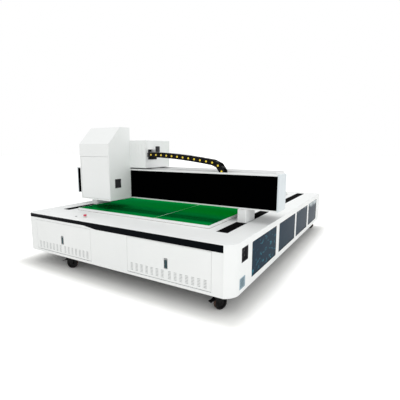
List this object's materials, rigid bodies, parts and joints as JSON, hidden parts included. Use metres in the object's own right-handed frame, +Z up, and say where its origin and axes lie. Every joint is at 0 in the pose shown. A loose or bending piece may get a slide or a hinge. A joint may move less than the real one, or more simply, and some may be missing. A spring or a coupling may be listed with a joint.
{
  "type": "glass laser engraving machine",
  "caption": "Large-bed glass engraving machine: white cabinet on casters, raised green bed, travelling gantry with a laser tower and cable chain.",
  "frame": {"origin": "on the floor under the middle of the machine", "axes": "+X to the right along the gantry, +Y from the front to the rear, +Z up"},
  "size_m": [2.98, 3.742, 1.658],
  "materials": {
    "white_paint": "satin white powder coat",
    "grey_paint": "satin light blue-grey powder coat",
    "frame_paint": "matt dark grey primer",
    "black_gloss": "gloss black panel",
    "black_plastic": "fine-grained black plastic",
    "black_steel": "black stove enamel",
    "green_glass": "gloss green backed glass",
    "dark_glass": "dark blue tinted glass",
    "steel": "ground bearing steel",
    "aluminium": "clear anodised aluminium",
    "bellows_fabric": "black coated cloth",
    "chain_plastic": "black glass-filled nylon",
    "yellow_plastic": "yellow moulded collar",
    "red_plastic": "red moulded mushroom",
    "grey_plastic": "pale grey moulded button",
    "caster_tread": "dark brown polyurethane tread"
  },
  "bodies": {
    "base": {"base_frame": "frame_paint", "bottom_pan": "frame_paint", "table_top": "white_paint", "bed_plate": "white_paint", "bed_sheets": "green_glass", "front_frame": "white_paint", "front_band": "black_gloss", "corner_left": "white_paint", "corner_right": "white_paint", "side_frame_left": "white_paint", "side_frame_right": "white_paint", "windows_left": "dark_glass", "windows_right": "dark_glass", "socket_panel": "black_plastic", "vent_grille": "grey_paint", "rear_panel": "white_paint", "y_rails": "steel", "y_magnet_tracks": "steel", "bellows_front_left": "bellows_fabric", "bellows_front_right": "bellows_fabric", "bellows_rear_left": "bellows_fabric", "bellows_rear_right": "bellows_fabric", "estop_base": "yellow_plastic", "caster_plates": "black_steel"},
    "gantry": {"gantry_beam": "white_paint", "gantry_fascia": "white_paint", "gantry_front_panel": "black_gloss", "end_cap_left": "grey_paint", "end_cap_right": "grey_paint", "leg_left": "white_paint", "leg_right": "white_paint", "x_rails": "steel", "x_magnet_track": "steel", "cable_chain": "chain_plastic"},
    "head": {"head_carriage": "aluminium", "tower_shell": "white_paint", "cup_pull": "black_plastic", "rear_housing": "white_paint", "chain_bracket": "white_paint", "terminal_block": "black_plastic", "laser_source": "aluminium"},
    "tower_door": {"tower_door": "white_paint"},
    "scan_head": {"scan_head": "aluminium", "scan_lens": "black_steel"},
    "door_left": {"door_left": "white_paint"},
    "door_right": {"door_right": "white_paint"},
    "latch_left": {"latch_paddle_left": "black_plastic"},
    "latch_right": {"latch_paddle_right": "black_plastic"},
    "estop_button": {"estop_button": "red_plastic"},
    "start_button": {"start_button": "grey_plastic"},
    "fork_front_left": {"caster_fork_front_left": "black_steel"},
    "wheel_front_left": {"caster_wheel_front_left": "caster_tread"},
    "pedal_front_left": {"caster_pedal_front_left": "black_steel"},
    "fork_front_right": {"caster_fork_front_right": "black_steel"},
    "wheel_front_right": {"caster_wheel_front_right": "caster_tread"},
    "pedal_front_right": {"caster_pedal_front_right": "black_steel"},
    "fork_rear_left": {"caster_fork_rear_left": "black_steel"},
    "wheel_rear_left": {"caster_wheel_rear_left": "caster_tread"},
    "fork_rear_right": {"caster_fork_rear_right": "black_steel"},
    "wheel_rear_right": {"caster_wheel_rear_right": "caster_tread"}
  },
  "joints": [
    {"name": "gantry_travel", "type": "slide", "parent": "base", "child": "gantry", "axis": [0, 1, 0], "range_m": [-0.3, 2.25], "deforming": ["bellows_front_left", "bellows_front_right", "bellows_rear_left", "bellows_rear_right"]},
    {"name": "head_travel", "type": "slide", "parent": "gantry", "child": "head", "axis": [1, 0, 0], "range_m": [-0.42, 1.15], "deforming": ["cable_chain"]},
    {"name": "focus_travel", "type": "slide", "parent": "head", "child": "scan_head", "axis": [0, 0, 1], "range_m": [-0.06, 0.08]},
    {"name": "tower_door_turn", "type": "hinge", "parent": "head", "child": "tower_door", "pos_m": [-0.934, -1.365, 1.04], "axis": [0, 0, -1], "range_deg": [0, 95]},
    {"name": "estop_press", "type": "slide", "parent": "base", "child": "estop_button", "axis": [0, 0, -1], "range_m": [0, 0.006], "stiffness_N_per_m": 500},
    {"name": "start_press", "type": "slide", "parent": "base", "child": "start_button", "axis": [0, 0, -1], "range_m": [0, 0.003], "stiffness_N_per_m": 300},
    {"name": "door_left_drop", "type": "hinge", "parent": "base", "child": "door_left", "pos_m": [-0.7295, -1.859, 0.199], "axis": [1, 0, 0], "range_deg": [0, 90]},
    {"name": "latch_left_pull", "type": "hinge", "parent": "door_left", "child": "latch_left", "pos_m": [-0.7295, -1.863, 0.316], "axis": [1, 0, 0], "range_deg": [0, 50]},
    {"name": "door_right_drop", "type": "hinge", "parent": "base", "child": "door_right", "pos_m": [0.7295, -1.859, 0.199], "axis": [1, 0, 0], "range_deg": [0, 90]},
    {"name": "latch_right_pull", "type": "hinge", "parent": "door_right", "child": "latch_right", "pos_m": [0.7295, -1.863, 0.316], "axis": [1, 0, 0], "range_deg": [0, 50]},
    {"name": "swivel_front_left", "type": "hinge", "parent": "base", "child": "fork_front_left", "pos_m": [-0.735, -1.783, 0.14], "axis": [0, 0, 1], "continuous": true},
    {"name": "roll_front_left", "type": "hinge", "parent": "fork_front_left", "child": "wheel_front_left", "pos_m": [-0.70321, -1.7661, 0.062], "axis": [0.4695, -0.8829, 0], "continuous": true},
    {"name": "brake_front_left", "type": "hinge", "parent": "fork_front_left", "child": "pedal_front_left", "pos_m": [-0.74736, -1.78957, 0.112], "axis": [0.4695, -0.8829, 0], "range_deg": [0, 15]},
    {"name": "swivel_front_right", "type": "hinge", "parent": "base", "child": "fork_front_right", "pos_m": [1.212, -1.783, 0.14], "axis": [0, 0, 1], "continuous": true},
    {"name": "roll_front_right", "type": "hinge", "parent": "fork_front_right", "child": "wheel_front_right", "pos_m": [1.23108, -1.75247, 0.062], "axis": [0.848, -0.5299, 0], "continuous": true},
    {"name": "brake_front_right", "type": "hinge", "parent": "fork_front_right", "child": "pedal_front_right", "pos_m": [1.20458, -1.79487, 0.112], "axis": [0.848, -0.5299, 0], "range_deg": [0, 15]},
    {"name": "swivel_rear_left", "type": "hinge", "parent": "base", "child": "fork_rear_left", "pos_m": [-1.245, 1.761, 0.14], "axis": [0, 0, 1], "continuous": true},
    {"name": "roll_rear_left", "type": "hinge", "parent": "fork_rear_left", "child": "wheel_rear_left", "pos_m": [-1.209, 1.761, 0.062], "axis": [0, -1, 0], "continuous": true},
    {"name": "swivel_rear_right", "type": "hinge", "parent": "base", "child": "fork_rear_right", "pos_m": [1.245, 1.761, 0.14], "axis": [0, 0, 1], "continuous": true},
    {"name": "roll_rear_right", "type": "hinge", "parent": "fork_rear_right", "child": "wheel_rear_right", "pos_m": [1.27883, 1.74869, 0.062], "axis": [-0.342, -0.9397, 0], "continuous": true}
  ]
}
